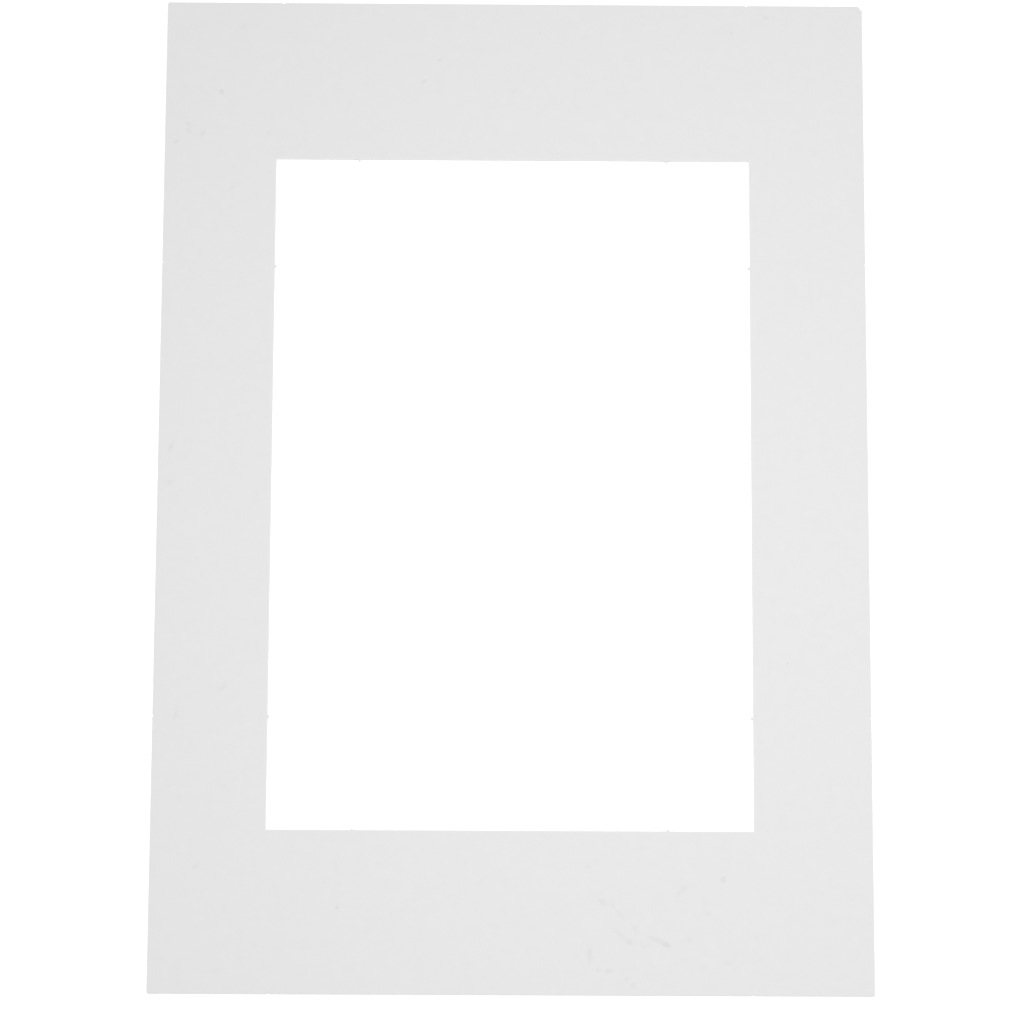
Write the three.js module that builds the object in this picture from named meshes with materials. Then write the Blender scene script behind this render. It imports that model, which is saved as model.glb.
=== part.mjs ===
// A picture mount die-cut from one sheet of white card.
// It lies flat, front face up. The origin is the middle of its underside, +X points
// to the right of the picture, +Y to the top of it and +Z out of the front face.
// Lengths are in millimetres.

import * as THREE from 'three';

// Card: a full sheet of the frame's size
const cardWidth = 210;
const cardLength = 297;
const cardThickness = 0.65;
const cornerRadius = 0.5;

// Window: a little smaller than the picture behind it, and cut slightly off centre
const windowWidth = 142;
const windowLength = 201;
const windowShiftX = -0.5;
const windowShiftY = -0.7;

// Torn ties: the die leaves the card uncut for a fraction of a millimetre, twice along
// each edge. Breaking out the window leaves a stub there, and breaking the card out of
// its own sheet leaves a small bite.
const stubWidth = 0.7;
const stubFromSideCorner = 25;
const stubFromEndCorner = 33;
const biteWidth = 0.8;
const biteDepth = 0.35;
const biteFromSideCorner = 35;
const biteFromEndCorner = 80.5;

// How far each stub reaches into the window, in the order in which the window's edge is
// walked: along its foot, up its right side, back along its head and down its left side
const stubReach = {
  foot: [0.35, 0.5],
  right: [0.9, 0.7],
  head: [0.6, 0.5],
  left: [0.5, 0.6],
};

// Worn corner: the top right corner has lost a crumb of card
const chipWidth = 0.9;
const chipLength = 1.5;
const chipStep = 0.45;

// Finish
const cardColour = 0xe7e7e6;
const cardRoughness = 0.9;

// Walks a straight edge from the path's present point to a corner, with a rounded stub or
// bite at each tie. A tie has its distance along the edge, its width, and its reach to
// the left of the way walked.
function walkEdge(path, end, ties) {
  const start = path.currentPoint.clone();
  const along = end.clone().sub(start).normalize();
  const left = new THREE.Vector2(-along.y, along.x);
  const place = (distance, reach) =>
    start.clone().addScaledVector(along, distance).addScaledVector(left, reach);

  const inOrder = [...ties].sort((a, b) => a.distance - b.distance);
  for (const tie of inOrder) {
    const half = tie.width / 2;
    const from = place(tie.distance - half, 0);
    const fromShoulder = place(tie.distance - half, tie.reach);
    const tip = place(tie.distance, tie.reach);
    const toShoulder = place(tie.distance + half, tie.reach);
    const to = place(tie.distance + half, 0);
    path.lineTo(from.x, from.y);
    path.quadraticCurveTo(fromShoulder.x, fromShoulder.y, tip.x, tip.y);
    path.quadraticCurveTo(toShoulder.x, toShoulder.y, to.x, to.y);
  }
  path.lineTo(end.x, end.y);
}

// Two bites, the same distance from either end of an edge of the card. The walk starts and
// ends where the corners' rounding does.
function bitesAlong(length, fromCorner, startTrim) {
  const distances = [fromCorner, length - fromCorner];
  return distances.map((distance) => ({
    distance: distance - startTrim,
    width: biteWidth,
    reach: biteDepth,
  }));
}

// Two stubs, the same distance from either end of an edge of the window
function stubsAlong(length, fromCorner, reaches) {
  const distances = [fromCorner, length - fromCorner];
  return distances.map((distance, place) => ({
    distance,
    width: stubWidth,
    reach: reaches[place],
  }));
}

// The card's outline, walked anticlockwise from the end of its bottom left corner
function cardOutline() {
  const right = cardWidth / 2;
  const top = cardLength / 2;
  const r = cornerRadius;
  const outline = new THREE.Shape();
  const point = (x, y) => new THREE.Vector2(x, y);

  outline.moveTo(-right + r, -top);
  walkEdge(outline, point(right - r, -top), bitesAlong(cardWidth, biteFromSideCorner, r));
  outline.absarc(right - r, -top + r, r, -Math.PI / 2, 0, false);

  walkEdge(outline, point(right, top - chipLength), bitesAlong(cardLength, biteFromEndCorner, r));
  outline.quadraticCurveTo(right, top - chipLength + chipStep, right - chipStep, top - chipLength + chipStep);
  outline.lineTo(right - chipWidth + chipStep / 2, top - chipStep);
  outline.quadraticCurveTo(right - chipWidth, top, right - chipWidth - chipStep, top);

  const headStart = chipWidth + chipStep;
  walkEdge(outline, point(-right + r, top), bitesAlong(cardWidth, biteFromSideCorner, headStart));
  outline.absarc(-right + r, top - r, r, Math.PI / 2, Math.PI, false);

  walkEdge(outline, point(-right, -top + r), bitesAlong(cardLength, biteFromEndCorner, r));
  outline.absarc(-right + r, -top + r, r, Math.PI, Math.PI * 1.5, false);
  return outline;
}

// The window's edge, walked anticlockwise from its bottom left corner, so that a stub's
// reach to the left stands into the window
function windowOutline() {
  const left = windowShiftX - windowWidth / 2;
  const right = windowShiftX + windowWidth / 2;
  const foot = windowShiftY - windowLength / 2;
  const head = windowShiftY + windowLength / 2;
  const outline = new THREE.Path();
  const point = (x, y) => new THREE.Vector2(x, y);
  const acrossEdge = (reaches) => stubsAlong(windowWidth, stubFromSideCorner, reaches);
  const upEdge = (reaches) => stubsAlong(windowLength, stubFromEndCorner, reaches);

  outline.moveTo(left, foot);
  walkEdge(outline, point(right, foot), acrossEdge(stubReach.foot));
  walkEdge(outline, point(right, head), upEdge(stubReach.right));
  walkEdge(outline, point(left, head), acrossEdge(stubReach.head));
  walkEdge(outline, point(left, foot), upEdge(stubReach.left));
  return outline;
}

function makeMount() {
  const outline = cardOutline();
  outline.holes.push(windowOutline());
  const geometry = new THREE.ExtrudeGeometry(outline, {
    depth: cardThickness,
    bevelEnabled: false,
    curveSegments: 4,
  });
  const material = new THREE.MeshStandardMaterial({
    color: cardColour,
    roughness: cardRoughness,
    metalness: 0,
  });
  const mount = new THREE.Mesh(geometry, material);
  mount.name = 'picture_mount';
  return mount;
}

const group = new THREE.Group();
group.add(makeMount());

export default group;
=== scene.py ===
"""Makes the picture mount as it looks: white card, cut by a die, with torn ties and scuffs.

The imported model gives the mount's solid. This file makes the card that shows in its place, the
frayed fibres at its torn ties, and a studio with a floor, a light and a camera.
Lengths are in metres. The card lies flat, +Z is up and +Y is the head of the picture.
"""

import math

import bmesh
import bpy
import numpy as np
from bpy.props import FloatProperty, FloatVectorProperty, IntProperty, PointerProperty
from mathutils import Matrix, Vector
from mathutils.geometry import delaunay_2d_cdt


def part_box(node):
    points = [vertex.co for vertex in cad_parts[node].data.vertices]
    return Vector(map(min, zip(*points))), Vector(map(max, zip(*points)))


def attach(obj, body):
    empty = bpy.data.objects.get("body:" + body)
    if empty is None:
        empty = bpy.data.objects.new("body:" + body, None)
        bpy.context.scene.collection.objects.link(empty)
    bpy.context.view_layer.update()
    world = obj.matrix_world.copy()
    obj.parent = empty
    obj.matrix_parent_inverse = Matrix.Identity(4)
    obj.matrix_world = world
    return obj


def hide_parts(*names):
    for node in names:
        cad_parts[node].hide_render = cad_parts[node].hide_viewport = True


bl_info = {
    "name": "Picture Mount",
    "version": (1, 0, 0),
    "blender": (4, 5, 0),
    "location": "3D View > Sidebar > Picture Mount",
    "description": "Makes a die-cut card picture mount with torn ties, grain and scuffs, and its studio",
    "category": "Add Mesh",
}

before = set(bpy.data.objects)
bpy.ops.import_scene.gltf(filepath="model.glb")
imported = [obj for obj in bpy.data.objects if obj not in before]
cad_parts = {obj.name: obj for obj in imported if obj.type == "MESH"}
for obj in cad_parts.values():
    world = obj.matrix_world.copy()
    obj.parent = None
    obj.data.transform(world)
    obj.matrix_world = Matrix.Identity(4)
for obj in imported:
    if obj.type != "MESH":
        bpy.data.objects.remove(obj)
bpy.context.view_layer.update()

NODE = "picture_mount"
BODY = "root"
CARD_LOW, CARD_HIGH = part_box(NODE)
CARD_THICKNESS = CARD_HIGH.z - CARD_LOW.z

MILLIMETRE = 0.001
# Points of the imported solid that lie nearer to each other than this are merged
MERGE_DISTANCE = 0.001 * MILLIMETRE
# A face is on the front where its normal's Z is above this
FRONT_SLOPE = 0.5
SEED = 7
# Width of the camera's sensor, in millimetres
SENSOR_WIDTH = 36.0

# Section through a cut edge. The front shoulder and the back edge each turn in equal steps, and
# the wall's points are given as shares of its hollow and of the card's thickness.
ROUNDING_STEPS = 5
WALL_POINTS = ((1.0, 0.45), (0.6, 0.2))
# How much each ring of the shoulder shows the painted highlight along the arris, a lighter line, from the
# face outwards
ARRIS_HIGHLIGHT_RINGS = (0.0, 0.25, 0.55, 0.9, 1.0, 0.6)
# Row of faces, counted from the front, from which the section has the cut edge's finish
FIRST_CUT_ROW = 4

# Marks on the front face, each as x and y from the middle of the card, length and width, all in
# millimetres, the turn of its length from +X in degrees, and its strength from 0 to 1.
# Scuffs are the rubbed strokes at the foot of the card, right of the middle.
SCUFFS = (
    (42.4, -132.7, 6.9, 1.7, -22, 0.43),
    (44.6, -133.8, 3.0, 1.6, -30, 0.82),
    (32.0, -131.5, 5.9, 1.6, -38, 0.34),
    (34.1, -133.2, 2.8, 1.8, -36, 0.61),
    (38.1, -134.1, 2.3, 1.4, -50, 0.25),
    (22.7, -137.0, 4.7, 1.7, 88, 0.45),
    (49.5, -118.2, 5.7, 1.8, 40, 0.38),
    (26.4, -121.8, 3.2, 1.9, -35, 0.50),
    (29.3, -122.6, 2.5, 1.8, 90, 0.24),
    (31.4, -125.3, 4.1, 1.5, -50, 0.29),
    (35.7, -129.2, 3.2, 1.8, -55, 0.28),
    (28.3, -141.5, 2.6, 1.7, 4, 0.46),
    (25.0, -141.3, 1.9, 1.4, 0, 0.33),
    (33.4, -143.9, 1.9, 1.4, -50, 0.37),
    (35.1, -145.7, 2.0, 1.5, 10, 0.31),
    (51.3, -132.5, 2.8, 1.9, 0, 0.30),
    (63.0, -138.9, 3.8, 1.6, 22, 0.24),
    (61.5, -115.2, 2.3, 1.7, 70, 0.68),
    (55.6, -121.4, 4.3, 1.1, -75, 0.15),
    (56.8, -125.0, 2.1, 1.7, 20, 0.19),
    (63.4, -130.3, 1.7, 1.3, 40, 0.16),
)

# Specks are the grey grains in the rest of the face
SPECKS = (
    (-88.4, 120.6, 1.8, 1.2, -47, 0.89),
    (-98.0, 110.4, 2.3, 1.4, -20, 0.43),
    (-98.1, 108.5, 2.3, 1.4, -50, 0.43),
    (-93.8, 107.6, 2.5, 1.3, 50, 0.50),
    (-101.7, 104.9, 1.6, 1.4, 60, 0.57),
    (-74.2, 107.8, 1.3, 1.1, 30, 0.49),
    (-84.8, -59.9, 2.9, 1.3, 40, 0.51),
    (-98.2, -67.6, 3.8, 1.4, 78, 0.36),
    (-50.5, -123.7, 1.4, 1.1, 40, 0.72),
    (-27.4, 124.2, 1.8, 1.4, 55, 0.49),
    (-22.6, 130.8, 1.5, 1.2, 40, 0.63),
    (0.0, 121.3, 2.5, 1.1, 37, 0.35),
    (76.0, 144.7, 1.5, 1.3, 15, 0.52),
    (65.4, 139.8, 1.3, 1.0, 0, 0.60),
    (-82.3, 141.1, 2.6, 1.9, 35, 0.30),
    (-101.3, 11.7, 3.8, 1.6, 73, 0.44),
    (-101.5, 1.0, 2.1, 1.7, 15, 0.50),
    (-91.6, -111.7, 2.6, 1.2, 55, 0.43),
    (22.3, -111.5, 2.3, 1.8, 30, 0.26),
    (24.4, -110.0, 1.9, 1.6, 90, 0.20),
    (-85.0, 90.7, 1.5, 1.3, 75, 0.39),
)


def millimetres(value):
    """A length in millimetres, in metres."""
    return value * MILLIMETRE


class CardSettings(bpy.types.PropertyGroup):
    """Sizes and colours of the card."""

    shoulder_width: FloatProperty(
        name="Shoulder Width",
        description="Width of the soft shoulder that the die presses along the front of every cut edge",
        default=millimetres(0.45),
        min=0.0,
        precision=5,
        unit="LENGTH",
    )
    shoulder_drop: FloatProperty(
        name="Shoulder Drop",
        description="How far the shoulder falls from the face to the top of the cut edge",
        default=millimetres(0.16),
        min=0.0,
        precision=5,
        unit="LENGTH",
    )
    back_rounding: FloatProperty(
        name="Back Edge Rounding",
        description="Radius along the back of every cut edge",
        default=millimetres(0.05),
        min=0.0,
        precision=5,
        unit="LENGTH",
    )
    wall_hollow: FloatProperty(
        name="Wall Hollow",
        description="How far the torn lower part of a cut edge lies back from its outline",
        default=millimetres(0.02),
        min=0.0,
        precision=5,
        unit="LENGTH",
    )
    edge_spacing: FloatProperty(
        name="Edge Spacing",
        description="Longest step between points along a cut edge",
        default=millimetres(2.0),
        min=millimetres(0.5),
        precision=4,
        unit="LENGTH",
    )
    face_spacing: FloatProperty(
        name="Face Spacing",
        description="Distance between points in the middle of a face",
        default=millimetres(4.0),
        min=millimetres(1.0),
        precision=4,
        unit="LENGTH",
    )
    settle_height: FloatProperty(
        name="Settle Height",
        description="How far the lying card lifts from the floor where it is least flat",
        default=millimetres(0.1),
        min=0.0,
        precision=5,
        unit="LENGTH",
    )
    face_colour: FloatVectorProperty(
        name="Face Colour",
        description="Colour of the card's front and back",
        subtype="COLOR",
        min=0.0,
        max=1.0,
        default=(0.76, 0.759, 0.76),
    )
    edge_colour: FloatVectorProperty(
        name="Edge Colour",
        description="Colour of the card's cut edges",
        subtype="COLOR",
        min=0.0,
        max=1.0,
        default=(0.735, 0.732, 0.724),
    )
    mark_colour: FloatVectorProperty(
        name="Mark Colour",
        description="Colour that the strongest scuff comes to",
        subtype="COLOR",
        min=0.0,
        max=1.0,
        default=(0.672, 0.671, 0.672),
    )
    roughness: FloatProperty(
        name="Roughness",
        description="Roughness of the card's surface",
        default=0.88,
        min=0.0,
        max=1.0,
        subtype="FACTOR",
    )


class FibreSettings(bpy.types.PropertyGroup):
    """Sizes of the frayed fibres at the torn ties."""

    count: IntProperty(
        name="Fibres per Tie",
        description="Number of loose fibres at each torn tie",
        default=12,
        min=0,
        max=60,
    )
    length: FloatProperty(
        name="Fibre Length",
        description="Longest fibre on a stub",
        default=millimetres(0.6),
        min=0.0,
        precision=5,
        unit="LENGTH",
    )
    radius: FloatProperty(
        name="Fibre Radius",
        description="Radius of a fibre at its root",
        default=millimetres(0.015),
        min=0.0,
        precision=6,
        unit="LENGTH",
    )
    curl: FloatProperty(
        name="Curl",
        description="How far a fibre's tip bends away from its root's direction",
        default=millimetres(0.16),
        min=0.0,
        precision=5,
        unit="LENGTH",
    )


class StageSettings(bpy.types.PropertyGroup):
    """The studio's floor, light and camera."""

    floor_size: FloatProperty(
        name="Floor Size",
        description="Length of each side of the floor",
        default=12.0,
        min=0.5,
        unit="LENGTH",
    )
    floor_colour: FloatVectorProperty(
        name="Floor Colour",
        description="Colour of the studio floor",
        subtype="COLOR",
        min=0.0,
        max=1.0,
        default=(0.97, 0.97, 0.97),
    )
    floor_glow: FloatProperty(
        name="Floor Glow",
        description="Light that the floor gives by itself, as a lit white table does",
        default=0.17,
        min=0.0,
        max=1.0,
    )
    sky_strength: FloatProperty(
        name="Sky Strength",
        description="Even light from all round",
        default=0.66,
        min=0.0,
    )
    key_power: FloatProperty(
        name="Key Power",
        description="Power of the soft box over the card",
        default=1.44,
        min=0.0,
        unit="POWER",
    )
    key_size: FloatProperty(
        name="Key Size",
        description="Length of each side of the soft box",
        default=0.4,
        min=0.01,
        unit="LENGTH",
    )
    key_place: FloatVectorProperty(
        name="Key Place",
        description="Middle of the soft box",
        subtype="TRANSLATION",
        default=(0.063, -0.020, 0.535),
    )
    camera_place: FloatVectorProperty(
        name="Camera Place",
        description="Where the camera stands",
        subtype="TRANSLATION",
        default=(-0.0069, -0.1711, 0.9786),
    )
    camera_turn: FloatVectorProperty(
        name="Camera Turn",
        description="How the camera is turned from looking straight down",
        subtype="EULER",
        default=(math.radians(9.505), math.radians(-0.425), math.radians(0.24)),
    )
    lens: FloatProperty(
        name="Lens",
        description="Focal length of the camera on a sensor 36 mm wide, in millimetres",
        default=118.1,
        min=10.0,
    )


# Outlines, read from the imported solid


def loop_area(loop):
    """Signed area inside a loop, above zero if it runs anticlockwise."""
    following = np.roll(loop, -1, axis=0)
    return 0.5 * float(np.sum(loop[:, 0] * following[:, 1] - following[:, 0] * loop[:, 1]))


def outline_loops(node):
    """Loops of 2-D points where the node's front face ends, with the card on the left of each.

    The first is the card's outline and the second is its window.
    """
    shell = bmesh.new()
    shell.from_mesh(node.data)
    bmesh.ops.remove_doubles(shell, verts=shell.verts, dist=MERGE_DISTANCE)
    shell.normal_update()

    def faces_front(face):
        return face.normal.z > FRONT_SLOPE

    following = {}
    for edge in shell.edges:
        front = [loop for loop in edge.link_loops if faces_front(loop.face)]
        if len(front) == 1:
            following[front[0].vert.index] = front[0].link_loop_next.vert.index
    places = {point.index: (point.co.x, point.co.y) for point in shell.verts}
    shell.free()

    loops = []
    while following:
        first = next(iter(following))
        chain = [first]
        while following[chain[-1]] != first:
            chain.append(following[chain[-1]])
        for index in chain:
            del following[index]
        loops.append(np.array([places[index] for index in chain]))
    loops.sort(key=lambda loop: -abs(loop_area(loop)))
    if len(loops) != 2:
        raise RuntimeError(f"the card has {len(loops)} edges, where an outline and a window were expected")
    return loops


def resample(loop, spacing):
    """The loop with its long straight stretches divided into steps of at most spacing."""
    points = []
    for start, end in zip(loop, np.roll(loop, -1, axis=0)):
        steps = max(1, math.ceil(np.linalg.norm(end - start) / spacing))
        points.extend(start + (end - start) * step / steps for step in range(steps))
    return np.array(points)


def left_normals(loop):
    """For each point, the step that moves both its edges one unit to the left."""
    sharpest_cosine = -0.5
    ahead = np.roll(loop, -1, axis=0) - loop
    ahead /= np.linalg.norm(ahead, axis=1, keepdims=True)
    left = np.stack([-ahead[:, 1], ahead[:, 0]], axis=1)
    before = np.roll(left, 1, axis=0)
    cosine = np.sum(left * before, axis=1, keepdims=True)
    return (left + before) / (1.0 + np.maximum(cosine, sharpest_cosine))


def distance_to_loops(points, loops):
    """Distance from each point to the nearest stretch of any loop."""
    nearest = np.full(len(points), np.inf)
    for loop in loops:
        for start, end in zip(loop, np.roll(loop, -1, axis=0)):
            along = end - start
            share = np.clip((points - start) @ along / (along @ along), 0.0, 1.0)
            gap = np.linalg.norm(points - start - share[:, None] * along, axis=1)
            nearest = np.minimum(nearest, gap)
    return nearest


def inside_card(points, loops):
    """Whether each point lies on the card, by counting the edges to its right."""
    crossings = np.zeros(len(points), int)
    for loop in loops:
        for start, end in zip(loop, np.roll(loop, -1, axis=0)):
            spans = (start[1] > points[:, 1]) != (end[1] > points[:, 1])
            if not spans.any():
                continue
            slope = (end[0] - start[0]) / (end[1] - start[1])
            crossing_x = start[0] + (points[:, 1] - start[1]) * slope
            crossings += spans & (points[:, 0] < crossing_x)
    return crossings % 2 == 1


def side_gaps(points, loop):
    """How far each point lies inside the left, right, foot and head of a loop's box."""
    low, high = loop.min(axis=0), loop.max(axis=0)
    from_low, from_high = points[:, :2] - low, high - points[:, :2]
    return np.column_stack([from_low[:, 0], from_high[:, 0], from_low[:, 1], from_high[:, 1]])


def find_ties(loop):
    """Torn ties on a loop: the tip of each, the way it points off the card, and its reach.

    A tie is a run of points that lie inside the loop's box, away from its corners.
    """
    corner_reach = millimetres(3.0)
    flat_reach = millimetres(0.05)
    gaps = side_gaps(loop, loop)
    side = gaps.argmin(axis=1)
    off_side = gaps.min(axis=1)
    next_side = np.sort(gaps, axis=1)[:, 1]
    on_tie = (off_side > flat_reach) & (next_side > corner_reach)
    # The way into the box from its left, right, foot and head
    inward = np.array([(1.0, 0.0), (-1.0, 0.0), (0.0, 1.0), (0.0, -1.0)])
    off_card = -inward if loop_area(loop) > 0 else inward

    ties = []
    run = []
    for index in range(len(loop) + 1):
        if index < len(loop) and on_tie[index]:
            run.append(index)
            continue
        if run:
            tip = max(run, key=lambda place: off_side[place])
            ties.append((loop[tip], off_card[side[tip]], off_side[tip]))
        run = []
    return ties


# The card's mesh


def edge_profile(card):
    """Section through a cut edge, from the front face to the back, as (inset, height) pairs."""
    width, drop, back = card.shoulder_width, card.shoulder_drop, card.back_rounding
    turns = [math.pi / 2 * step / ROUNDING_STEPS for step in range(ROUNDING_STEPS + 1)]
    shoulder = [
        (width * (1 - math.sin(turn)), CARD_THICKNESS - drop * (1 - math.cos(turn)))
        for turn in turns
    ]
    wall = [(card.wall_hollow * depth, CARD_THICKNESS * height) for depth, height in WALL_POINTS]
    rounding = [(back * (1 - math.cos(turn)), back * (1 - math.sin(turn))) for turn in turns]
    return shoulder + wall + rounding


def shoulder_shares(loop):
    """Share of the shoulder's width that each point takes: all on straight runs, half at ties."""
    straight_step = millimetres(1.0)
    tie_share = 0.5
    ahead = np.linalg.norm(np.roll(loop, -1, axis=0) - loop, axis=1)
    shorter = np.minimum(ahead, np.roll(ahead, 1))
    return np.where(shorter > straight_step, 1.0, tie_share)[:, None]


def face_points(loops, insets, spacing):
    """Points inside a face: rows that follow its edges, then an even grid in the middle."""
    # Least distance from the edges, as a share of a row's inset and of the grid's spacing
    row_clearance = 0.9
    grid_clearance = 0.35
    found = []
    for inset in insets:
        for loop in loops:
            row = loop + left_normals(loop) * inset
            clear = distance_to_loops(row, loops) > inset * row_clearance
            found.append(row[clear])
    low, high = loops[0].min(axis=0), loops[0].max(axis=0)
    counts = np.ceil((high - low) / spacing).astype(int)
    xs = np.linspace(low[0], high[0], counts[0] + 1)
    ys = np.linspace(low[1], high[1], counts[1] + 1)
    grid = np.stack(np.meshgrid(xs, ys), axis=-1).reshape(-1, 2)
    grid = grid[inside_card(grid, loops)]
    margin = insets[-1] + spacing * grid_clearance
    found.append(grid[distance_to_loops(grid, loops) > margin])
    return np.concatenate(found)


def triangulate(loops, inner):
    """Triangles that fill the card between its loops, as indices into the loops' points, then inner."""
    points = np.concatenate([*loops, inner])
    edges = []
    first = 0
    for loop in loops:
        count = len(loop)
        edges.extend((first + step, first + (step + 1) % count) for step in range(count))
        first += count
    in_mm = [Vector(point) for point in points / MILLIMETRE]
    fill_hull = 0
    same_point_mm = 1e-6
    placed, _, faces, sources, _, _ = delaunay_2d_cdt(in_mm, edges, [], fill_hull, same_point_mm, True)
    if len(placed) != len(points):
        raise RuntimeError("two points of the card's face fall together")
    index = np.array([source[0] for source in sources])
    triangles = index[np.array(faces)]
    middles = points[triangles].mean(axis=1)
    return triangles[inside_card(middles, loops)]


def renumber(faces, ring_size, ring_start, inner_start):
    """Faces that count a ring's points and then the inner ones, as both are counted in the mesh."""
    return np.where(faces < ring_size, faces + ring_start, faces - ring_size + inner_start)


def wall_faces(loops, rows):
    """Faces that join each ring of points to the next, row by row from the front."""
    ring_size = sum(len(loop) for loop in loops)
    faces = []
    for row in range(rows):
        first = row * ring_size
        for loop in loops:
            count = len(loop)
            for step in range(count):
                here, beside = first + step, first + (step + 1) % count
                faces.append((here, here + ring_size, beside + ring_size, beside))
            first += count
    return faces


def torn_heights(places, window):
    """Heights with the stubs in the window thinned towards their torn tips."""
    # Reach into the window at which a stub is thinnest, and the share of its thickness lost there
    thinnest_reach = millimetres(0.8)
    lost_share = 0.55
    reach = np.clip(side_gaps(places, window).min(axis=1) / thinnest_reach, 0.0, 1.0)
    middle = CARD_THICKNESS / 2
    return middle + (places[:, 2] - middle) * (1.0 - lost_share * reach)


def card_mesh(name, card):
    """The card as one closed mesh, with attributes for its cut faces and for the painted highlight along
    its front arris.
    """
    traced = outline_loops(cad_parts[NODE])
    loops = [resample(loop, card.edge_spacing) for loop in traced]
    profile = edge_profile(card)
    steps_in = [left_normals(loop) * shoulder_shares(loop) for loop in loops]
    rings = [[loop + step * inset for loop, step in zip(loops, steps_in)] for inset, _ in profile]
    ring_size = sum(len(loop) for loop in loops)

    # Rows of points that follow the edges, this far in from where a face starts
    rows = (millimetres(0.5), millimetres(1.7))
    front_inner = face_points(rings[0], rows, card.face_spacing)
    back_inner = face_points(rings[-1], rows[1:], card.face_spacing)
    front_start = len(profile) * ring_size
    back_start = front_start + len(front_inner)
    last_ring = front_start - ring_size
    front = renumber(triangulate(rings[0], front_inner), ring_size, 0, front_start)
    back = renumber(triangulate(rings[-1], back_inner), ring_size, last_ring, back_start)
    walls = wall_faces(loops, len(profile) - 1)
    faces = [tuple(face) for face in front] + [tuple(face[::-1]) for face in back] + walls

    heights = [np.full(ring_size, height) for _, height in profile]
    heights += [np.full(len(front_inner), CARD_THICKNESS), np.zeros(len(back_inner))]
    flat = np.concatenate([loop for ring in rings for loop in ring] + [front_inner, back_inner])
    places = np.column_stack([flat, np.concatenate(heights)])
    places[:, 2] = torn_heights(places, traced[1]) + CARD_LOW.z

    first_cut = len(front) + len(back) + FIRST_CUT_ROW * ring_size
    # The arris attribute holds the painted highlight along the front of each cut edge
    arris = np.zeros(len(places))
    arris[:len(ARRIS_HIGHLIGHT_RINGS) * ring_size] = np.repeat(ARRIS_HIGHLIGHT_RINGS, ring_size)
    mesh = bpy.data.meshes.new(name)
    mesh.from_pydata(places.tolist(), [], faces)
    cut = mesh.attributes.new("cut", "BOOLEAN", "FACE")
    cut.data.foreach_set("value", [index >= first_cut for index in range(len(faces))])
    mesh.attributes.new("arris", "FLOAT", "POINT").data.foreach_set("value", arris)
    mesh.polygons.foreach_set("use_smooth", [True] * len(faces))
    mesh.update()
    mesh.validate()
    return mesh


# Geometry Nodes


class Tree:
    """A short way to write a node tree, of geometry or of a shader."""

    def __init__(self, name, kind="GeometryNodeTree"):
        self.tree = bpy.data.node_groups.new(name, kind)

    def input(self, name, kind, default=None):
        """Adds a named input, with the value that it has when none is given."""
        socket = self.tree.interface.new_socket(name=name, in_out="INPUT", socket_type=kind)
        if default is not None:
            socket.default_value = default

    def output(self, name, kind):
        """Adds a named output."""
        self.tree.interface.new_socket(name=name, in_out="OUTPUT", socket_type=kind)

    def node(self, kind, inputs=None, **settings):
        """Adds a node to the tree."""
        return add_node(self.tree, kind, inputs, **settings)

    def result(self, kind, inputs=None, **settings):
        """Adds a node and gives its first output."""
        return self.node(kind, inputs, **settings).outputs[0]

    def remap(self, value, start, end, top, **settings):
        """A value that runs from start to end, brought to one that runs from 0 to top."""
        inputs = {"Value": value, "From Min": start, "From Max": end, "To Max": top}
        return self.result("ShaderNodeMapRange", inputs, **settings)


def add_node(tree, kind, inputs=None, **settings):
    """Adds a node, with its settings, and links or sets each of its inputs, by name or place."""
    node = tree.nodes.new(kind)
    for name, value in settings.items():
        setattr(node, name, value)
    for key, value in (inputs or {}).items():
        socket = node.inputs[key]
        if isinstance(value, bpy.types.NodeSocket):
            tree.links.new(value, socket)
        else:
            socket.default_value = value
    return node


def maths(tree, operation, *values):
    """The result of a Math node."""
    return add_node(tree, "ShaderNodeMath", dict(enumerate(values)), operation=operation).outputs[0]


def weighted_sum(tree, first, second, share):
    """The first value times share, plus the second times the rest."""
    rest = round(1.0 - share, 6)
    return maths(tree, "ADD", maths(tree, "MULTIPLY", first, share), maths(tree, "MULTIPLY", second, rest))


def vector_maths(tree, operation, *values):
    """The result of a Vector Math node, or its value where it gives one."""
    node = add_node(tree, "ShaderNodeVectorMath", dict(enumerate(values)), operation=operation)
    return node.outputs["Value" if operation == "LENGTH" else "Vector"]


def scaled(tree, vector, amount):
    """A vector times a number."""
    node = add_node(tree, "ShaderNodeVectorMath", {0: vector, "Scale": amount}, operation="SCALE")
    return node.outputs["Vector"]


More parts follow.
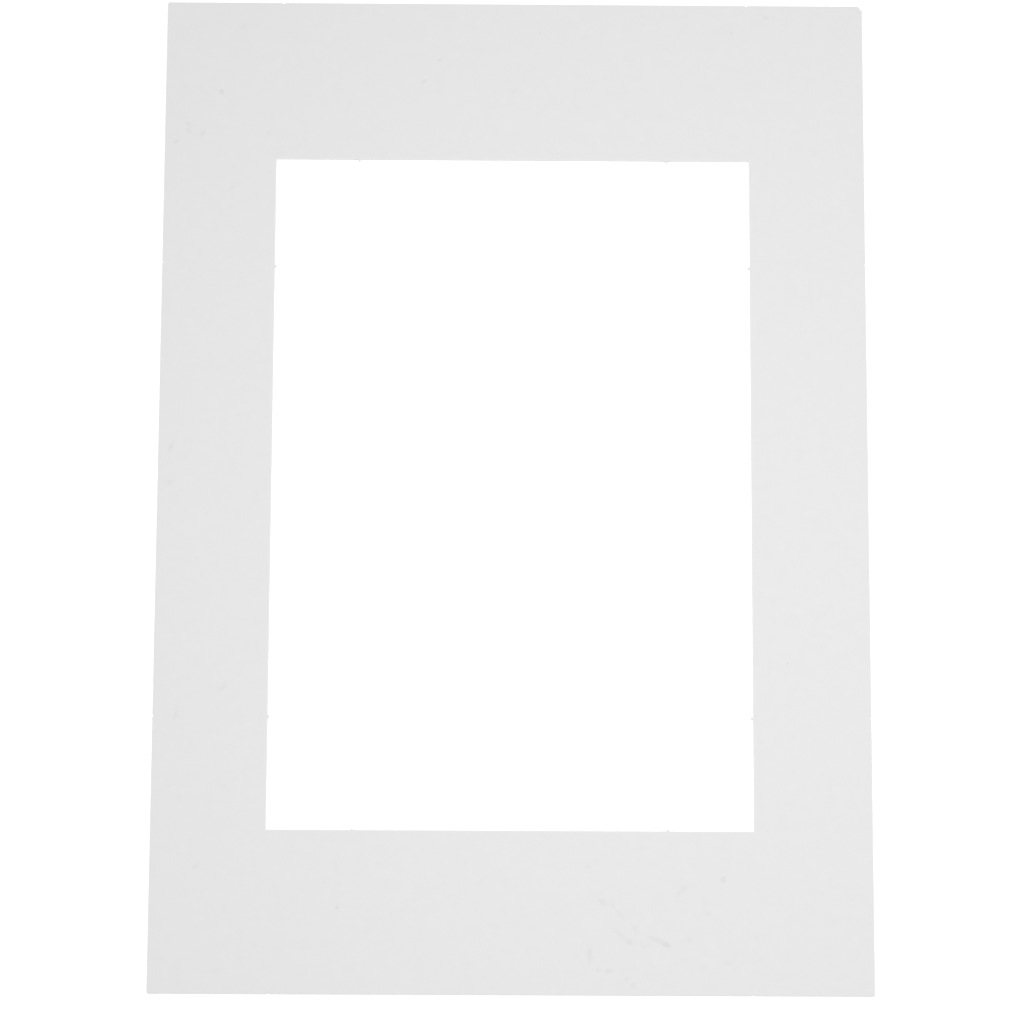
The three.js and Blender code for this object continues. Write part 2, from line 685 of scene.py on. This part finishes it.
def settle_tree():
    """Lifts a flat sheet by a slow, smooth amount, as real card lies, and gives it its materials."""
    made = Tree("Settled Card")
    tree = made.tree
    made.input("Geometry", "NodeSocketGeometry")
    made.input("Height", "NodeSocketFloat", millimetres(0.1))
    made.input("Swells per Metre", "NodeSocketFloat", 6.0)
    made.input("Seed", "NodeSocketFloat", float(SEED))
    made.input("Face Material", "NodeSocketMaterial")
    made.input("Edge Material", "NodeSocketMaterial")
    made.output("Geometry", "NodeSocketGeometry")
    given = made.node("NodeGroupInput").outputs

    place = made.result("GeometryNodeInputPosition")
    flat = vector_maths(tree, "MULTIPLY", place, (1.0, 1.0, 0.0))
    swell = made.result(
        "ShaderNodeTexNoise",
        {"Vector": flat, "W": given["Seed"], "Scale": given["Swells per Metre"], "Detail": 0.0},
        noise_dimensions="4D",
    )
    swells = made.node(
        "GeometryNodeAttributeStatistic",
        {"Geometry": given["Geometry"], "Attribute": swell},
    ).outputs
    lift = made.remap(swell, swells["Min"], swells["Max"], given["Height"])
    offset = made.result("ShaderNodeCombineXYZ", {"Z": lift})
    moved = made.result("GeometryNodeSetPosition", {"Geometry": given["Geometry"], "Offset": offset})
    real = made.result("GeometryNodeRealizeInstances", {"Geometry": moved})
    faced = made.result("GeometryNodeSetMaterial", {"Geometry": real, "Material": given["Face Material"]})
    on_edge = made.result("GeometryNodeInputNamedAttribute", {"Name": "cut"}, data_type="BOOLEAN")
    edged = made.result(
        "GeometryNodeSetMaterial",
        {"Geometry": faced, "Selection": on_edge, "Material": given["Edge Material"]},
    )
    made.node("NodeGroupOutput", {"Geometry": edged})
    return tree


def fibre_tree():
    """Grows curled fibres from points, each along the point's own direction."""
    made = Tree("Torn Fibres")
    tree = made.tree
    made.input("Ties", "NodeSocketGeometry")
    made.input("Count", "NodeSocketInt", 12)
    made.input("Length", "NodeSocketFloat", millimetres(0.6))
    made.input("Radius", "NodeSocketFloat", millimetres(0.015))
    made.input("Curl", "NodeSocketFloat", millimetres(0.16))
    made.input("Spread", "NodeSocketFloat", millimetres(0.5))
    made.input("Thickness", "NodeSocketFloat", CARD_THICKNESS)
    made.input("Seed", "NodeSocketInt", SEED)
    made.input("Material", "NodeSocketMaterial")
    made.output("Fibres", "NodeSocketGeometry")
    given = made.node("NodeGroupInput").outputs

    # Where a fibre's root may lie, as shares of the spread, of the tie's reach and of the thickness
    root_across = (-0.5, 0.5)
    root_inwards = (-0.75, -0.15)
    root_height = (-0.22, 0.22)
    # How far a fibre may stray from the tie's direction, and its length as a share of the longest
    stray_low = (-0.7, -0.7, 0.0)
    stray_high = (0.7, 0.7, 0.3)
    length_share = (0.45, 1.0)
    # How a fibre curls: more towards its tip, over this distance, and least in height
    bend_power = 1.6
    curl_size = millimetres(0.5)
    curl_reach = (2.0, 2.0, 0.4)
    # Share of its radius that a fibre loses by its tip
    tip_taper = 0.6
    points_along = 7
    points_around = 5

    def drawn(low, high, step, kind="FLOAT"):
        """A random value for each fibre. Each step draws its own."""
        seed = maths(tree, "ADD", given["Seed"], float(step))
        ends = {"FLOAT": ("Min_001", "Max_001"), "FLOAT_VECTOR": ("Min", "Max")}[kind]
        node = made.node("FunctionNodeRandomValue", data_type=kind)
        sockets = {socket.identifier: socket for socket in node.inputs}
        sockets[ends[0]].default_value = low
        sockets[ends[1]].default_value = high
        tree.links.new(seed, node.inputs["Seed"])
        return next(socket for socket in node.outputs if socket.enabled)

    def tie_value(name, kind):
        """A value that each tie's point carries."""
        return made.result("GeometryNodeInputNamedAttribute", {"Name": name}, data_type=kind)

    copies = made.result(
        "GeometryNodeDuplicateElements",
        {"Geometry": given["Ties"], "Amount": given["Count"]},
        domain="POINT",
    )
    out = tie_value("out", "FLOAT_VECTOR")
    reach = tie_value("reach", "FLOAT")
    room = tie_value("room", "FLOAT")
    across = vector_maths(tree, "CROSS_PRODUCT", out, (0.0, 0.0, 1.0))

    sideways = maths(tree, "MULTIPLY", drawn(*root_across, 1), given["Spread"])
    inwards = maths(tree, "MULTIPLY", drawn(*root_inwards, 2), reach)
    upwards = maths(tree, "MULTIPLY", drawn(*root_height, 3), given["Thickness"])
    root = vector_maths(tree, "ADD", scaled(tree, across, sideways), scaled(tree, out, inwards))
    root = vector_maths(tree, "ADD", root, made.result("ShaderNodeCombineXYZ", {"Z": upwards}))
    roots = made.result("GeometryNodeSetPosition", {"Geometry": copies, "Offset": root})

    stray = drawn(stray_low, stray_high, 4, "FLOAT_VECTOR")
    heading = vector_maths(tree, "ADD", out, stray)
    rotation = made.result("FunctionNodeAlignRotationToVector", {"Vector": heading}, axis="X")
    size = maths(tree, "MULTIPLY", drawn(*length_share, 5), given["Length"])
    size = maths(tree, "MINIMUM", size, room)
    line = made.result("GeometryNodeCurvePrimitiveLine", {"End": (1.0, 0.0, 0.0)})
    strand = made.result("GeometryNodeResampleCurve", {"Curve": line, "Count": points_along})
    placed = made.result(
        "GeometryNodeInstanceOnPoints",
        {"Points": roots, "Instance": strand, "Rotation": rotation, "Scale": size},
    )
    strands = made.result("GeometryNodeRealizeInstances", {"Geometry": placed})

    along = made.node("GeometryNodeSplineParameter").outputs["Factor"]
    bend = maths(tree, "POWER", along, bend_power)
    place = made.result("GeometryNodeInputPosition")
    noise = made.node("ShaderNodeTexNoise", {"Vector": place, "Scale": 1.0 / curl_size, "Detail": 1.0})
    turned = vector_maths(tree, "SUBTRACT", noise.outputs["Color"], (0.5, 0.5, 0.5))
    turned = vector_maths(tree, "MULTIPLY", turned, curl_reach)
    amount = maths(tree, "MULTIPLY", bend, given["Curl"])
    curled = made.result(
        "GeometryNodeSetPosition",
        {"Geometry": strands, "Offset": scaled(tree, turned, amount)},
    )
    taper = maths(tree, "SUBTRACT", 1.0, maths(tree, "MULTIPLY", along, tip_taper))
    radius = maths(tree, "MULTIPLY", taper, given["Radius"])
    circle = made.result("GeometryNodeCurvePrimitiveCircle", {"Resolution": points_around, "Radius": 1.0})
    tubes = made.result(
        "GeometryNodeCurveToMesh",
        {"Curve": curled, "Profile Curve": circle, "Scale": radius, "Fill Caps": True},
    )
    smooth = made.result("GeometryNodeSetShadeSmooth", {"Geometry": tubes})
    real = made.result("GeometryNodeRealizeInstances", {"Geometry": smooth})
    painted = made.result("GeometryNodeSetMaterial", {"Geometry": real, "Material": given["Material"]})
    made.node("NodeGroupOutput", {"Fibres": painted})
    return tree


def apply_tree(piece, tree, values):
    """Runs a geometry tree on a piece and leaves the result as its plain mesh."""
    modifier = piece.modifiers.new(tree.name, "NODES")
    modifier.node_group = tree
    for item in tree.interface.items_tree:
        if item.item_type == "SOCKET" and item.in_out == "INPUT" and item.name in values:
            modifier[item.identifier] = values[item.name]
    graph = bpy.context.evaluated_depsgraph_get()
    graph.update()
    made = bpy.data.meshes.new_from_object(piece.evaluated_get(graph), depsgraph=graph)
    piece.modifiers.remove(modifier)
    old = piece.data
    made.name = piece.name
    piece.data = made
    bpy.data.meshes.remove(old)


# Shader node groups


def grain_group():
    """Height and tone of the felted fibres in card, at a given size."""
    made = Tree("Card Grain", "ShaderNodeTree")
    tree = made.tree
    made.input("Vector", "NodeSocketVector")
    made.input("Grain Size", "NodeSocketFloat", millimetres(0.25))
    made.input("Cloud Size", "NodeSocketFloat", millimetres(3.5))
    made.output("Height", "NodeSocketFloat")
    made.output("Tone", "NodeSocketFloat")
    given = made.node("NodeGroupInput").outputs

    # Share of the height that the felt makes, and of the tone that the clouds make
    felt_share = 0.6
    cloud_share = 0.7
    # How the strands are drawn out, one set along X and one along Y
    stretches = ((0.25, 1.0, 1.0), (1.0, 0.3, 1.0))

    place = given["Vector"]
    fine_scale = maths(tree, "DIVIDE", 1.0, given["Grain Size"])
    cloud_scale = maths(tree, "DIVIDE", 1.0, given["Cloud Size"])
    felt = made.result(
        "ShaderNodeTexNoise",
        {"Vector": place, "Scale": fine_scale, "Detail": 3.0, "Roughness": 0.6, "Distortion": 0.6},
    )
    ways = [made.result("ShaderNodeMapping", {"Vector": place, "Scale": stretch}) for stretch in stretches]
    strands = [
        made.result(
            "ShaderNodeTexNoise",
            {"Vector": way, "Scale": fine_scale, "Detail": 1.0, "Distortion": 1.5},
        )
        for way in ways
    ]
    crossed = maths(tree, "MAXIMUM", *strands)
    height = weighted_sum(tree, felt, crossed, felt_share)
    clouds = made.result(
        "ShaderNodeTexNoise",
        {"Vector": place, "Scale": cloud_scale, "Detail": 4.0, "Roughness": 0.65},
    )
    tone = weighted_sum(tree, clouds, felt, cloud_share)
    made.node("NodeGroupOutput", {"Height": height, "Tone": tone})
    return tree


def mark_group():
    """Adds one soft oval mark to the marks before it."""
    made = Tree("Rubbed Mark", "ShaderNodeTree")
    tree = made.tree
    made.input("Vector", "NodeSocketVector")
    made.input("Centre", "NodeSocketVector")
    made.input("Turn", "NodeSocketVector")
    made.input("Half Size", "NodeSocketVector", (1.0, 1.0, 1.0))
    made.input("Strength", "NodeSocketFloat", 1.0)
    made.input("Before", "NodeSocketFloat", 0.0)
    made.output("Marks", "NodeSocketFloat")
    given = made.node("NodeGroupInput").outputs

    # Where a mark has faded out and where it is full, as shares of its half size
    faded = 1.5
    full = 0.1
    local = made.result(
        "ShaderNodeMapping",
        {
            "Vector": given["Vector"],
            "Location": given["Centre"],
            "Rotation": given["Turn"],
            "Scale": given["Half Size"],
        },
        vector_type="TEXTURE",
    )
    radius = vector_maths(tree, "LENGTH", local)
    mark = made.remap(radius, faded, full, given["Strength"], interpolation_type="SMOOTHSTEP")
    made.node("NodeGroupOutput", {"Marks": maths(tree, "MAXIMUM", given["Before"], mark)})
    return tree


def marks_group():
    """All the scuffs and specks of the front face, and faint flecks between them, as one mask."""
    made = Tree("Scuffs and Specks", "ShaderNodeTree")
    tree = made.tree
    made.input("Vector", "NodeSocketVector")
    made.input("Fleck Spacing", "NodeSocketFloat", millimetres(9.0))
    made.output("Mask", "NodeSocketFloat")
    given = made.node("NodeGroupInput").outputs

    # How finely the marks' edges wander, and how far
    wander_size = millimetres(1.1)
    wander_reach = millimetres(1.3)
    # Share of the flecks that don't show, and the most that the rest show
    hidden_share = 0.45
    fleck_strength = 0.6
    # Where a fleck has faded out and where it is full, as shares of the fleck spacing
    faded = 0.075
    full = 0.01

    wander = made.node(
        "ShaderNodeTexNoise",
        {"Vector": given["Vector"], "Scale": 1.0 / wander_size, "Detail": 2.0},
    ).outputs["Color"]
    wander = vector_maths(tree, "SUBTRACT", wander, (0.5, 0.5, 0.5))
    wander = vector_maths(tree, "MULTIPLY", wander, (wander_reach, wander_reach, 0.0))
    flat = vector_maths(tree, "MULTIPLY", given["Vector"], (1.0, 1.0, 0.0))
    uneven = vector_maths(tree, "ADD", flat, wander)
    one_mark = mark_group()
    before = 0.0
    for x, y, length, width, turn, strength in SCUFFS + SPECKS:
        before = made.node(
            "ShaderNodeGroup",
            {
                "Vector": uneven,
                "Centre": (millimetres(x), millimetres(y), 0.0),
                "Turn": (0.0, 0.0, math.radians(turn)),
                "Half Size": (millimetres(length) / 2, millimetres(width) / 2, 1.0),
                "Strength": strength,
                "Before": before,
            },
            node_tree=one_mark,
        ).outputs["Marks"]

    fleck_scale = maths(tree, "DIVIDE", 1.0, given["Fleck Spacing"])
    cells = made.node("ShaderNodeTexVoronoi", {"Vector": uneven, "Scale": fleck_scale}).outputs
    chance = made.result("ShaderNodeSeparateColor", {"Color": cells["Color"]})
    shown = made.remap(chance, hidden_share, 1.0, fleck_strength)
    fleck = made.remap(cells["Distance"], faded, full, shown, interpolation_type="SMOOTHSTEP")
    made.node("NodeGroupOutput", {"Mask": maths(tree, "MAXIMUM", before, fleck)})
    return tree


# Materials


def new_material(name, roughness, specular=0.3):
    """A material with a Principled shader, its tree and the shader node."""
    material = bpy.data.materials.new(name)
    material.use_nodes = True
    tree = material.node_tree
    shader = tree.nodes["Principled BSDF"]
    shader.inputs["Roughness"].default_value = roughness
    shader.inputs["Specular IOR Level"].default_value = specular
    return material, tree, shader


def mix_colour(tree, share, low, high):
    """A colour between two, by share. Each colour is a socket or three numbers."""
    node = add_node(tree, "ShaderNodeMix", data_type="RGBA", clamp_factor=True)
    sockets = {socket.identifier: socket for socket in node.inputs}
    tree.links.new(share, sockets["Factor_Float"])
    for identifier, value in (("A_Color", low), ("B_Color", high)):
        if isinstance(value, bpy.types.NodeSocket):
            tree.links.new(value, sockets[identifier])
        else:
            sockets[identifier].default_value = (*value, 1.0)
    return next(socket for socket in node.outputs if socket.identifier == "Result_Color")


def lighter(colour, share):
    """A colour moved towards white by share."""
    return tuple(value + (1.0 - value) * share for value in colour)


def darker(colour, share):
    """A colour moved towards black by share."""
    return tuple(value * (1.0 - share) for value in colour)


def object_place(tree):
    """Each point's place on its piece, which the patterns follow."""
    return add_node(tree, "ShaderNodeTexCoord").outputs["Object"]


def add_bump(tree, shader, height, strength, distance):
    """Gives a shader a fine relief."""
    bump = add_node(tree, "ShaderNodeBump", {"Height": height, "Strength": strength, "Distance": distance})
    tree.links.new(bump.outputs["Normal"], shader.inputs["Normal"])


def face_material(card, grain, marks):
    """White card, front and back: smooth, matt, with a little grain, the front's marks and a painted
    highlight along the front arris.
    """
    # How far the clouds take the colour down and up
    cloud_contrast = 0.028
    # Most that the painted highlight along the arris shows, and how far it lifts the colour towards white
    arris_highlight_most = 0.5
    arris_highlight_lift = 0.3
    # How much the roughness varies with the clouds, and how much a full mark takes off it
    rough_spread = 0.1
    rub_polish = 0.12
    relief_strength = 1.0
    relief_depth = millimetres(0.035)

    material, tree, shader = new_material("White Card", card.roughness)
    colour = tuple(card.face_colour)
    place = object_place(tree)
    texture = add_node(tree, "ShaderNodeGroup", {"Vector": place}, node_tree=grain).outputs
    light_cloud = tuple(value * (1.0 + cloud_contrast) for value in colour)
    clouded = mix_colour(tree, texture["Tone"], darker(colour, cloud_contrast), light_cloud)

    normal = add_node(tree, "ShaderNodeNewGeometry").outputs["Normal"]
    up = add_node(tree, "ShaderNodeSeparateXYZ", {"Vector": normal}).outputs["Z"]
    front = maths(tree, "GREATER_THAN", up, FRONT_SLOPE)
    marked = add_node(tree, "ShaderNodeGroup", {"Vector": place}, node_tree=marks).outputs["Mask"]
    mask = maths(tree, "MULTIPLY", marked, front)
    rubbed = mix_colour(tree, mask, clouded, tuple(card.mark_colour))

    # Painted highlight: the colour is lifted towards white along the front arris
    arris = add_node(tree, "ShaderNodeAttribute", attribute_name="arris").outputs["Fac"]
    arris_highlight_amount = maths(tree, "MULTIPLY", arris, arris_highlight_most)
    arris_highlighted = mix_colour(tree, arris_highlight_amount, rubbed, lighter(colour, arris_highlight_lift))
    tree.links.new(arris_highlighted, shader.inputs["Base Color"])

    roughest = card.roughness + rough_spread / 2
    worn = maths(tree, "SUBTRACT", roughest, maths(tree, "MULTIPLY", texture["Tone"], rough_spread))
    polished = maths(tree, "SUBTRACT", worn, maths(tree, "MULTIPLY", mask, rub_polish))
    tree.links.new(polished, shader.inputs["Roughness"])
    add_bump(tree, shader, texture["Height"], relief_strength, relief_depth)
    return material


def edge_material(card, grain):
    """The cut edge, where the layers of board show as fine lines along it."""
    # The layers: their size, how they are drawn out along the card, and their share of the tone
    layer_size = millimetres(0.25)
    layer_stretch = (0.12, 0.12, 4.0)
    layer_share = 0.7
    # How far the tone goes towards black and towards white
    shade = 0.1
    light = 0.12
    relief_strength = 0.8
    relief_depth = millimetres(0.03)

    material, tree, shader = new_material("Cut Edge", roughness=0.95, specular=0.15)
    colour = tuple(card.edge_colour)
    place = object_place(tree)
    along_layers = add_node(tree, "ShaderNodeMapping", {"Vector": place, "Scale": layer_stretch}).outputs[0]
    layers = add_node(
        tree,
        "ShaderNodeTexNoise",
        {"Vector": along_layers, "Scale": 1.0 / layer_size, "Detail": 2.0},
    ).outputs[0]
    texture = add_node(
        tree,
        "ShaderNodeGroup",
        {"Vector": place, "Grain Size": millimetres(0.12)},
        node_tree=grain,
    ).outputs
    share = weighted_sum(tree, layers, texture["Tone"], layer_share)
    layered = mix_colour(tree, share, darker(colour, shade), lighter(colour, light))
    tree.links.new(layered, shader.inputs["Base Color"])
    relief = maths(tree, "ADD", layers, texture["Height"])
    add_bump(tree, shader, relief, relief_strength, relief_depth)
    return material


def fibre_material(card, grain):
    """Loose paper fibre, lighter than the card: the lift is partly the fibre's own lighter tone and partly
    painted highlight, which keeps the thin fibres bright where they shade themselves.
    """
    # How far the tone goes towards black and towards white; the lift towards white is partly painted
    # highlight
    shade = 0.03
    light = 0.8

    material, tree, shader = new_material("Paper Fibre", roughness=0.9, specular=0.2)
    colour = tuple(card.face_colour)
    texture = add_node(tree, "ShaderNodeGroup", {"Vector": object_place(tree)}, node_tree=grain).outputs
    mottled_and_highlit = mix_colour(tree, texture["Tone"], darker(colour, shade), lighter(colour, light))
    tree.links.new(mottled_and_highlit, shader.inputs["Base Color"])
    return material


def floor_material(stage):
    """Plain matt white floor with a faint unevenness in its tone."""
    clouds_per_metre = 3.0
    cloud_contrast = 0.005

    material, tree, shader = new_material("Studio Floor", roughness=0.95, specular=0.0)
    colour = tuple(stage.floor_colour)
    cloud = add_node(
        tree,
        "ShaderNodeTexNoise",
        {"Vector": object_place(tree), "Scale": clouds_per_metre, "Detail": 1.0},
    ).outputs[0]
    uneven = mix_colour(tree, cloud, darker(colour, cloud_contrast), colour)
    tree.links.new(uneven, shader.inputs["Base Color"])
    shader.inputs["Emission Color"].default_value = (*colour, 1.0)
    shader.inputs["Emission Strength"].default_value = stage.floor_glow
    return material


def shared(name, make):
    """A node group that is made once and then found by its name."""
    return bpy.data.node_groups.get(name) or make()


# Operators


def link_piece(name, mesh):
    """A new object at the origin that holds a mesh."""
    piece = bpy.data.objects.new(name, mesh)
    bpy.context.scene.collection.objects.link(piece)
    return piece


class MakeCard(bpy.types.Operator):
    """Make the card with its edges, which the die presses into a shoulder, a painted highlight along them,
    grain and scuffs
    """

    bl_idname = "picture_mount.make_card"
    bl_label = "Make Card"

    def execute(self, context):
        card = context.scene.picture_mount_card
        grain = shared("Card Grain", grain_group)
        marks = shared("Scuffs and Specks", marks_group)
        piece = link_piece("mount_card", card_mesh("mount_card", card))
        values = {
            "Height": card.settle_height,
            "Face Material": face_material(card, grain, marks),
            "Edge Material": edge_material(card, grain),
        }
        apply_tree(piece, shared("Settled Card", settle_tree), values)
        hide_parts(NODE)
        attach(piece, BODY)
        return {"FINISHED"}


def tie_points(name, ties, rooms):
    """A mesh of one point for each tie, which carries the values that its fibres grow by."""
    middle = CARD_LOW.z + CARD_THICKNESS / 2
    mesh = bpy.data.meshes.new(name)
    mesh.from_pydata([(*tip, middle) for tip, _, _ in ties], [], [])
    out = mesh.attributes.new("out", "FLOAT_VECTOR", "POINT")
    out.data.foreach_set("vector", [value for _, way, _ in ties for value in (*way, 0.0)])
    reach = mesh.attributes.new("reach", "FLOAT", "POINT")
    reach.data.foreach_set("value", [float(length) for _, _, length in ties])
    room = mesh.attributes.new("room", "FLOAT", "POINT")
    room.data.foreach_set("value", [float(length) for length in rooms])
    return mesh


class MakeTornFibres(bpy.types.Operator):
    """Make the frayed fibres at the torn ties"""

    bl_idname = "picture_mount.make_torn_fibres"
    bl_label = "Make Torn Fibres"

    def execute(self, context):
        card = context.scene.picture_mount_card
        fibres = context.scene.picture_mount_fibres
        bites, stubs = (find_ties(loop) for loop in outline_loops(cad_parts[NODE]))
        if not bites or not stubs:
            raise RuntimeError("the card has no torn ties to fray")
        rooms = [depth for _, _, depth in bites] + [fibres.length] * len(stubs)
        piece = link_piece("torn_fibres", tie_points("torn_fibres", bites + stubs, rooms))
        values = {
            "Count": fibres.count,
            "Length": fibres.length,
            "Radius": fibres.radius,
            "Curl": fibres.curl,
            "Material": fibre_material(card, shared("Card Grain", grain_group)),
        }
        apply_tree(piece, shared("Torn Fibres", fibre_tree), values)
        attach(piece, BODY)
        return {"FINISHED"}


class SetStage(bpy.types.Operator):
    """Set the floor, the light and the camera"""

    bl_idname = "picture_mount.set_stage"
    bl_label = "Set Stage"

    def execute(self, context):
        stage = context.scene.picture_mount_stage
        make_floor(stage)
        make_lights(context.scene, stage)
        make_camera(context.scene, stage)
        context.scene.view_settings.view_transform = "Standard"
        context.scene.view_settings.look = "None"
        return {"FINISHED"}


def make_floor(stage):
    """A flat square floor, a hair below the card."""
    gap = millimetres(0.02)
    squares = 8
    shell = bmesh.new()
    bmesh.ops.create_grid(shell, x_segments=squares, y_segments=squares, size=stage.floor_size / 2)
    bmesh.ops.translate(shell, verts=shell.verts, vec=(0.0, 0.0, CARD_LOW.z - gap))
    mesh = bpy.data.meshes.new("studio_floor")
    shell.to_mesh(mesh)
    shell.free()
    mesh.materials.append(floor_material(stage))
    link_piece("studio_floor", mesh)


def make_lights(scene, stage):
    """An even sky and one soft box over the card, a little to its right."""
    world = bpy.data.worlds.new("Studio")
    world.use_nodes = True
    sky = world.node_tree.nodes["Background"]
    sky.inputs["Color"].default_value = (1.0, 1.0, 1.0, 1.0)
    sky.inputs["Strength"].default_value = stage.sky_strength
    scene.world = world

    lamp = bpy.data.lights.new("soft_box", "AREA")
    lamp.shape = "SQUARE"
    lamp.size = stage.key_size
    lamp.energy = stage.key_power
    box = link_piece("soft_box", lamp)
    box.location = stage.key_place
    box.visible_camera = False


def make_camera(scene, stage):
    """The camera, which looks down on the card from past its foot."""
    camera = bpy.data.cameras.new("camera")
    camera.sensor_fit = "HORIZONTAL"
    camera.sensor_width = SENSOR_WIDTH
    camera.lens = stage.lens
    camera.clip_start = 0.01
    holder = link_piece("camera", camera)
    holder.location = stage.camera_place
    holder.rotation_euler = stage.camera_turn
    scene.camera = holder


class MountPanel(bpy.types.Panel):
    """Sizes, colours and steps of the picture mount"""

    bl_idname = "VIEW3D_PT_picture_mount"
    bl_label = "Picture Mount"
    bl_space_type = "VIEW_3D"
    bl_region_type = "UI"
    bl_category = "Picture Mount"

    def draw(self, context):
        scene = context.scene
        groups = (
            (MakeCard, scene.picture_mount_card),
            (MakeTornFibres, scene.picture_mount_fibres),
            (SetStage, scene.picture_mount_stage),
        )
        for operator, settings in groups:
            box = self.layout.box()
            for name in settings.bl_rna.properties.keys():
                if name not in ("rna_type", "name"):
                    box.prop(settings, name)
            box.operator(operator.bl_idname)


CLASSES = (CardSettings, FibreSettings, StageSettings, MakeCard, MakeTornFibres, SetStage, MountPanel)
SETTINGS = {
    "picture_mount_card": CardSettings,
    "picture_mount_fibres": FibreSettings,
    "picture_mount_stage": StageSettings,
}


def register():
    """Add the classes and their settings to Blender."""
    for item in CLASSES:
        bpy.utils.register_class(item)
    for name, settings in SETTINGS.items():
        setattr(bpy.types.Scene, name, PointerProperty(type=settings))


def unregister():
    """Take the classes and their settings out of Blender."""
    for name in SETTINGS:
        delattr(bpy.types.Scene, name)
    for item in reversed(CLASSES):
        bpy.utils.unregister_class(item)


def main():
    """Make every piece and the stage."""
    register()
    bpy.ops.picture_mount.make_card()
    bpy.ops.picture_mount.make_torn_fibres()
    bpy.ops.picture_mount.set_stage()


if __name__ == "__main__":
    main()
